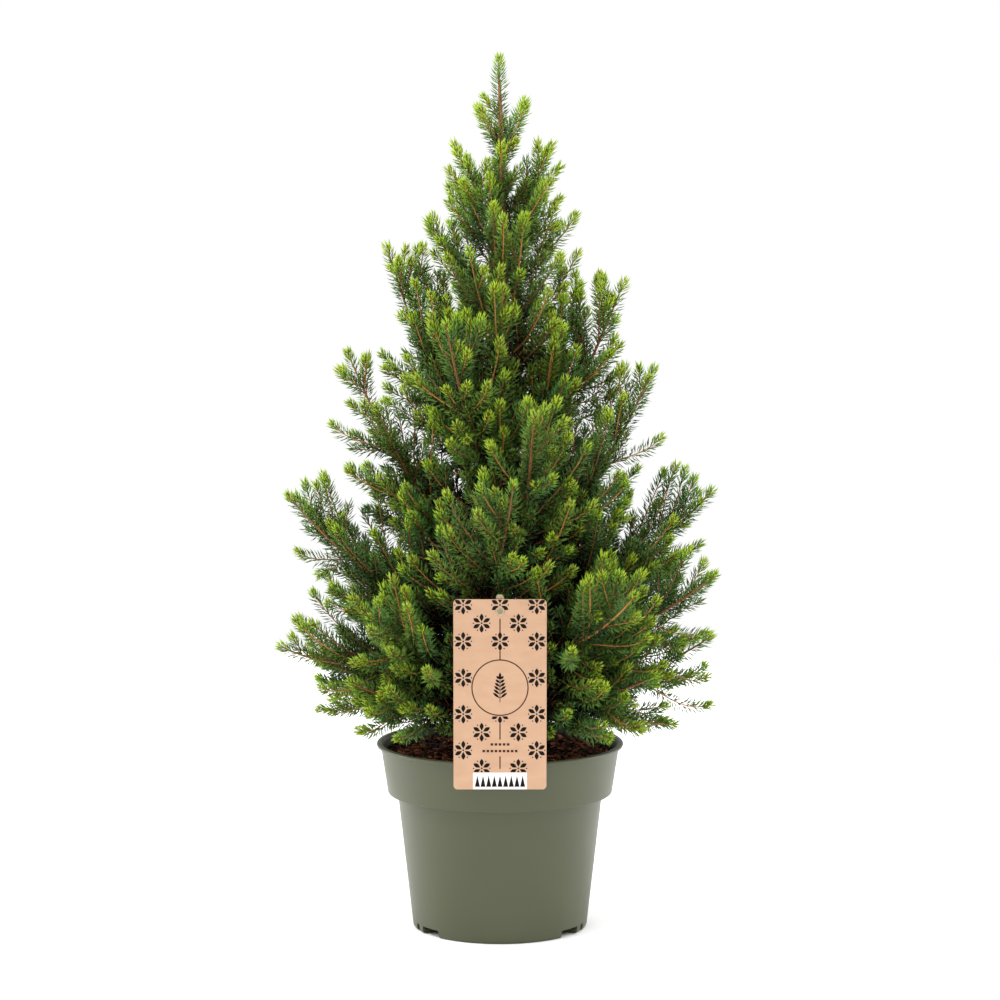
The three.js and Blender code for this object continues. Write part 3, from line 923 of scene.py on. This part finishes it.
def make_crown():
    centres, radii, lines = make_wood()
    needle_materials = [
        new_material(f"needle_{age_and_shade}_{variant}", srgb(colour), 0.55, Specular_IOR_Level=0.25)
        for age_and_shade, variants in enumerate(NEEDLE_COLOURS)
        for variant, colour in enumerate(variants)
    ]
    twig_materials = [new_material(f"twig_{i}", srgb(c), 0.6) for i, c in enumerate(TWIG_COLOURS)]
    masses = [node[len("foliage_"):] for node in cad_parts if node.startswith("foliage_")]
    cloud, triangles = joined([node_points("foliage_" + name) for name in masses])
    crown = tree_of(cloud, triangles)
    spans = [np.hypot(*cloud[np.abs(cloud[:, 2] - level) < 25 * MM, :2].T) for level in OUTLINE_LEVELS]
    outline = OUTLINE_LEVELS, np.array([np.percentile(span, 80) for span in spans])
    for seed, name in enumerate(sorted(masses)):
        grower = Grower(name, crown, 1000 + seed)
        if name == "leader":
            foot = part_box("foliage_leader")[0][2]
            start = at_height(centres, foot + 4 * MM)
            radius = float(np.interp(foot, centres[:, 2], radii)) * 0.7
            grower.grow(start, UP, radius, clear_of_lead=24 * MM, fill=SHOOT.fill_leader)
            grower.from_trunk(centres, outline)
        else:
            path, bough_radii = lines[name]
            grower.grow(path[-1], unit(path[-1] - path[-3]), bough_radii[-1])
        twigs = twig_mesh("twigs_" + name, grower.shoots, twig_materials, seed, outline)
        finish_piece(twigs, "bark", "foliage_" + name)
        needles = needle_mesh("needles_" + name, grower.shoots, needle_materials, 500 + seed, outline)
        finish_piece(needles, "needles", "foliage_" + name)


# ---- pot and potting mix

def ring_sector(start, end, inner, outer, low, high, steps=10):
    """Vertices and quads of a block that curves round the Z axis."""
    angle = np.radians(np.linspace(start, end, steps))
    section = [(inner, low), (outer, low), (outer, high), (inner, high)]
    points = [(r * math.cos(a), r * math.sin(a), z) for a in angle for r, z in section]
    faces = [tuple(quad) for quad in grid_faces(steps, 4)]
    last = 4 * (steps - 1)
    return points, faces + [(3, 2, 1, 0), (last, last + 1, last + 2, last + 3)]


def make_pot():
    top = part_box("pot")[1]
    height, lip = top[2], top[0]
    wall, floor, step = POT.wall, POT.floor, POT.step_height
    corners = [
        (0, 0, 0),
        (POT.foot_radius - 0.3 * MM, 0, 2.6 * MM),
        (POT.step_radius, step, 0.7 * MM),
        (POT.band_foot_radius, step, 1.5 * MM),
        (POT.band_top_radius, height - POT.lip_depth, 1.1 * MM),
        (lip, height - POT.lip_depth, 0.9 * MM),
        (lip, height, 1.2 * MM),
        (POT.band_top_radius - 0.6 * MM, height, 0.7 * MM),
        (POT.band_top_radius - wall, height - POT.lip_depth, 0.8 * MM),
        (POT.band_foot_radius - wall, step + wall, 1.0 * MM),
        (POT.step_radius - wall, step + wall, 0.8 * MM),
        (POT.foot_radius - wall, floor, 1.2 * MM),
        (0, floor, 0),
    ]
    plastic = patterned(
        "olive_plastic",
        [(0.3, (63, 67, 41)), (0.7, (67, 71, 44))],
        (0.42, 0.5), 18, detail=3.0, bump=0.12, bump_scale=900, bump_depth=0.06 * MM,
    )
    pot = lathe("nursery_pot", rounded(corners), [plastic], POT.sides)
    points, faces = [], []
    for centre in (-90, 90):
        for hand in (-1, 1):
            for start, end in POT.windows:
                radius = POT.foot_radius
                block, quads = ring_sector(
                    *sorted((centre + hand * start, centre + hand * end)),
                    radius - POT.window_depth + 3 * MM, radius + 3 * MM, -1 * MM, POT.window_height,
                )
                faces += [tuple(len(points) + i for i in quad) for quad in quads]
                points += block
    cutter_mesh = bpy.data.meshes.new("window_cutter")
    cutter_mesh.from_pydata(points, [], faces)
    face_outwards(cutter_mesh)
    cutter = new_object("window_cutter", cutter_mesh)
    cut = pot.modifiers.new("windows", "BOOLEAN")
    cut.object, cut.operation, cut.solver = cutter, "DIFFERENCE", "EXACT"
    bpy.context.view_layer.update()
    whole = bpy.data.meshes.new_from_object(pot.evaluated_get(bpy.context.evaluated_depsgraph_get()))
    pot.modifiers.clear()
    pot.data = whole
    whole.set_sharp_from_angle(angle=SMOOTH_ANGLE)
    bpy.data.objects.remove(cutter)
    finish_piece(pot, "pot_plastic", "pot")


def make_mix():
    """The moist mix under the chips: a closed plug with an uneven top."""
    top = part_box("potting_mix")[1]
    reach, crest = top[0], top[2] - MIX.under_chips
    rings, sides = MIX.rings, MIX.sides
    radius = np.concatenate([[reach - 1 * MM], np.linspace(reach, 0.6 * MM, rings)])
    height = crest - MIX.dome * (radius / reach) ** 2
    height[0] -= MIX.skirt
    angle = full_turn(sides)
    x, y = radius[:, None] * np.cos(angle), radius[:, None] * np.sin(angle)
    z = np.repeat(height[:, None], sides, axis=1)
    for i in range(1, rings):
        for j in range(sides):
            spot = Vector((x[i, j] * MIX.bumps_per_metre, y[i, j] * MIX.bumps_per_metre, 2.0))
            z[i, j] += MIX.bumps * noise.noise(spot)
    points = np.stack([x, y, z], axis=-1).reshape(-1, 3)
    vertices = np.vstack([points, (0, 0, height[0]), (0, 0, crest)])
    earth = patterned(
        "moist_mix",
        [(0.3, (14, 9, 6)), (0.55, (40, 24, 15)), (0.8, (84, 52, 34))],
        (0.8, 0.98), 300, bump=0.8, bump_depth=0.6 * MM,
    )
    mix = mesh_object("mix_surface", vertices, capped_tube(rings + 1, sides), [earth])
    finish_piece(mix, "potting_mix", "potting_mix")
    make_chips(reach, crest)


def make_chips(reach, crest):
    """Splinters of composted bark lying over the mix."""
    random = np.random.default_rng(5)
    radius = (reach - 3 * MM) * np.sqrt(random.uniform(0.02, 1, CHIPS))
    angle = random.uniform(0, 2 * np.pi, CHIPS)
    centre = np.stack([radius * np.cos(angle), radius * np.sin(angle), np.zeros(CHIPS)], axis=1)
    lift = random.uniform(0, 1.0, CHIPS) ** 2 * 2.2 * MM
    centre[:, 2] = crest - MIX.dome * (radius / reach) ** 2 + lift + 0.4 * MM
    half = np.stack([random.uniform(*limits, CHIPS) * MM for limits in CHIP_HALVES], axis=1)
    half[:, 0] = np.minimum(half[:, 0], (reach - radius) * 0.8 + 0.8 * MM)
    turn = random.uniform(0, 2 * np.pi, CHIPS)
    tilt = random.normal(0, 0.24, (CHIPS, 2))
    long = unit(np.stack([np.cos(turn), np.sin(turn), tilt[:, 0]], axis=1))
    wide = unit(np.cross(np.stack([np.zeros(CHIPS), tilt[:, 1], np.ones(CHIPS)], axis=1), long))
    thick = np.cross(long, wide)
    corners = []
    for signs in product((-1, 1), repeat=3):
        away = random.uniform(0.55, 1.1, (CHIPS, 3)) * half * signs
        corners.append(centre + away[:, :1] * long + away[:, 1:2] * wide + away[:, 2:] * thick)
    vertices = np.stack(corners, axis=1).reshape(-1, 3)
    pattern = np.array([(0, 1, 3, 2), (4, 6, 7, 5), (0, 4, 5, 1), (2, 3, 7, 6), (0, 2, 6, 4), (1, 5, 7, 3)])
    faces = (pattern[None] + 8 * np.arange(CHIPS)[:, None, None]).reshape(-1, 4)
    materials = [
        patterned(
            f"bark_chip_{i}",
            [(0.3, [0.62 * c for c in brown]), (0.7, brown)],
            (0.7, 0.95), 700, bump=0.5, bump_depth=0.2 * MM, Specular_IOR_Level=0.2,
        )
        for i, brown in enumerate(CHIP_BROWNS)
    ]
    tone = random.choice(len(CHIP_BROWNS), CHIPS, p=CHIP_SHARES)
    chips = mesh_object("bark_chips", vertices, faces, materials, np.repeat(tone, 6), smooth=False)
    finish_piece(chips, "potting_mix", "potting_mix")


# ---- label

def polar(centre, radius, angle):
    return centre[0] + radius * math.cos(angle), centre[1] + radius * math.sin(angle)


def disc(centre, radius, sides):
    return [polar(centre, radius, angle) for angle in full_turn(sides)]


def bar(x0, z0, x1, z1):
    return [(x0, z0), (x1, z0), (x1, z1), (x0, z1)]


def petal(centre, angle, inner, outer, width, steps=7):
    """A pointed leaf shape from inner to outer radius."""
    c, s = math.cos(angle), math.sin(angle)
    share = np.linspace(0, 1, steps)
    reach = inner + (outer - inner) * share
    swell = width / 2 * np.sin(np.pi * share ** 1.15)
    right = [(centre[0] + c * r + s * w, centre[1] + s * r - c * w) for r, w in zip(reach, swell)]
    left = [(centre[0] + c * r - s * w, centre[1] + s * r + c * w) for r, w in zip(reach, swell)]
    return right + left[-2:0:-1]


def rosette(centre, size):
    """Six plain petals round a dot, with a speck between each two."""
    shapes = [disc(centre, 0.09 * size, 10)]
    for k in range(6):
        shapes.append(petal(centre, math.pi / 2 + k * math.pi / 3, 0.16 * size, 0.94 * size, 0.4 * size))
        shapes.append(disc(polar(centre, 0.8 * size, k * math.pi / 3), 0.07 * size, 8))
    return shapes


def clipped(shape, limit, side):
    """The part of an outline below a height (side 1) or above it (side -1)."""
    kept = []
    for (x0, z0), (x1, z1) in zip(shape, shape[1:] + shape[:1]):
        if side * (z0 - limit) <= 0:
            kept.append((x0, z0))
        if (z0 - limit) * (z1 - limit) < 0:
            share = (limit - z0) / (z1 - z0)
            kept.append((x0 + share * (x1 - x0), limit))
    return kept


def printed(name, shapes, back, material, depth):
    """Thin raised print on a card that faces -Y: each outline becomes a closed plate."""
    sheet = bmesh.new()
    for shape in shapes:
        if len(shape) < 3:
            continue
        rear = [sheet.verts.new((x, back, z)) for x, z in shape]
        front = [sheet.verts.new((x, back - depth, z)) for x, z in shape]
        sheet.faces.new(rear[::-1])
        sheet.faces.new(front)
        for i in range(len(shape)):
            following = (i + 1) % len(shape)
            sheet.faces.new((front[following], front[i], rear[i], rear[following]))
    bmesh.ops.recalc_face_normals(sheet, faces=sheet.faces)
    mesh = bpy.data.meshes.new(name)
    sheet.to_mesh(mesh)
    sheet.free()
    mesh.materials.append(material)
    return finish_piece(new_object(name, mesh), "label_card")


def ring_of_bars(centre, radius, stroke, count=72):
    """A circle line as a run of short plates."""
    shapes = []
    for k in range(count):
        a0, a1 = 2 * math.pi * k / count, 2 * math.pi * (k + 1) / count
        rim = (radius, a0), (radius + stroke, a0), (radius + stroke, a1), (radius, a1)
        shapes.append([polar(centre, r, a) for r, a in rim])
    return shapes


def sprig(centre, size):
    """A plain upright sprig: a stem with pairs of short leaves."""
    x, z = centre
    shapes = [bar(x - 0.25 * MM, z - size, x + 0.25 * MM, z + 0.72 * size)]
    for k in range(6):
        foot = (x, z - 0.72 * size + 0.26 * size * k)
        reach = size * (0.62 - 0.06 * k)
        shapes += [petal(foot, math.radians(angle), 0, reach, 0.17 * size) for angle in (38, 142)]
    shapes.append(petal((x, z + 0.5 * size), math.pi / 2, 0, 0.55 * size, 0.18 * size))
    return shapes


def print_ink(name, dark, pale):
    stops = [(0.3, dark), (0.7, pale)]
    return patterned(name, stops, (0.5, 0.6), 400, bump=0.05, Specular_IOR_Level=0.12)


def make_label():
    card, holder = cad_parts["plant_label"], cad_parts["label_stake"]
    low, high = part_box("plant_label")
    front, top, centre = low[1], high[2], (low[0] + high[0]) / 2
    kraft = patterned(
        "kraft_card",
        [(0.25, (184, 145, 115)), (0.75, (194, 156, 126))],
        (0.55, 0.65), 60, detail=8.0, stretch=(1, 1, 2.5), bump=0.1, bump_scale=1500, bump_depth=0.05 * MM,
    )
    ink = print_ink("black_ink", (14, 10, 8), (20, 15, 12))
    brown_ink = print_ink("brown_ink", (62, 36, 22), (70, 42, 26))
    white = print_ink("white_ink", (238, 236, 232), (244, 243, 240))
    plastic = patterned(
        "holder_plastic",
        [(0.3, (206, 186, 150)), (0.7, (214, 196, 162))],
        (0.28, 0.34), 120, bump=0.1, Alpha=0.4,
    )
    for piece, material in ((card, kraft), (holder, plastic)):
        piece.data.materials.clear()
        piece.data.materials.append(material)

    pitch, depth, size = LABEL.pitch, LABEL.ink, LABEL.rosette
    middle = top - LABEL.ring_drop
    panel_top = low[2] + LABEL.panel[1]
    rosettes, bands = [], []
    for row in range(LABEL.rows):
        z = top - LABEL.first_row - row * pitch
        columns = (-2, 0, 2) if row % 2 == 0 else (-1, 1)
        for column in columns:
            x = centre + column * pitch
            from_middle = math.hypot(x - centre, z - middle)
            under_ring = column == 0 and row == LABEL.ring_row
            over_words = column == 0 and row == LABEL.word_row
            if column in (-1, 0, 1) and from_middle < LABEL.ring + size and not under_ring or over_words:
                continue
            limit, side = top - 0.3 * MM, 1
            if under_ring:
                limit = middle - LABEL.ring - 1.2 * MM
            elif row == LABEL.rows - 1:
                limit, side = panel_top + 0.4 * MM, -1
            rosettes += [clipped(shape, limit, side) for shape in rosette((x, z), size)]
    printed("label_rosettes", rosettes, front, ink, depth)
    line = LABEL.stroke / 2
    for above, under in LABEL.lines:
        bands.append(bar(centre - line, top - under * MM, centre + line, top - above * MM))
    bands += ring_of_bars((centre, middle), LABEL.ring, LABEL.stroke)
    for drop, count in LABEL.dashes:
        for k in range(count):
            x = centre + (k - (count - 1) / 2) * LABEL.dash_pitch
            bands.append(bar(x - 1.0 * MM, top - (drop + 0.9) * MM, x + 1.0 * MM, top - (drop - 0.9) * MM))
    printed("label_lines", bands, front, brown_ink, depth)
    printed("label_sprig", sprig((centre, middle), 11 * MM), front, ink, depth)
    half, teeth = LABEL.panel[0] / 2, []
    panel = bar(centre - half, low[2] + 0.2 * MM, centre + half, panel_top)
    printed("label_panel", [panel], front, white, depth)
    for k in range(LABEL.teeth):
        x = centre + (k - LABEL.teeth // 2) * LABEL.tooth_pitch
        foot = low[2] + 2 * MM
        teeth.append([(x - 1.9 * MM, foot), (x + 1.9 * MM, foot), (x, panel_top - 2 * MM)])
    printed("label_trim", teeth, front - depth, ink, depth)


make_camera()
make_stage()
make_pot()
make_mix()
make_label()
make_crown()
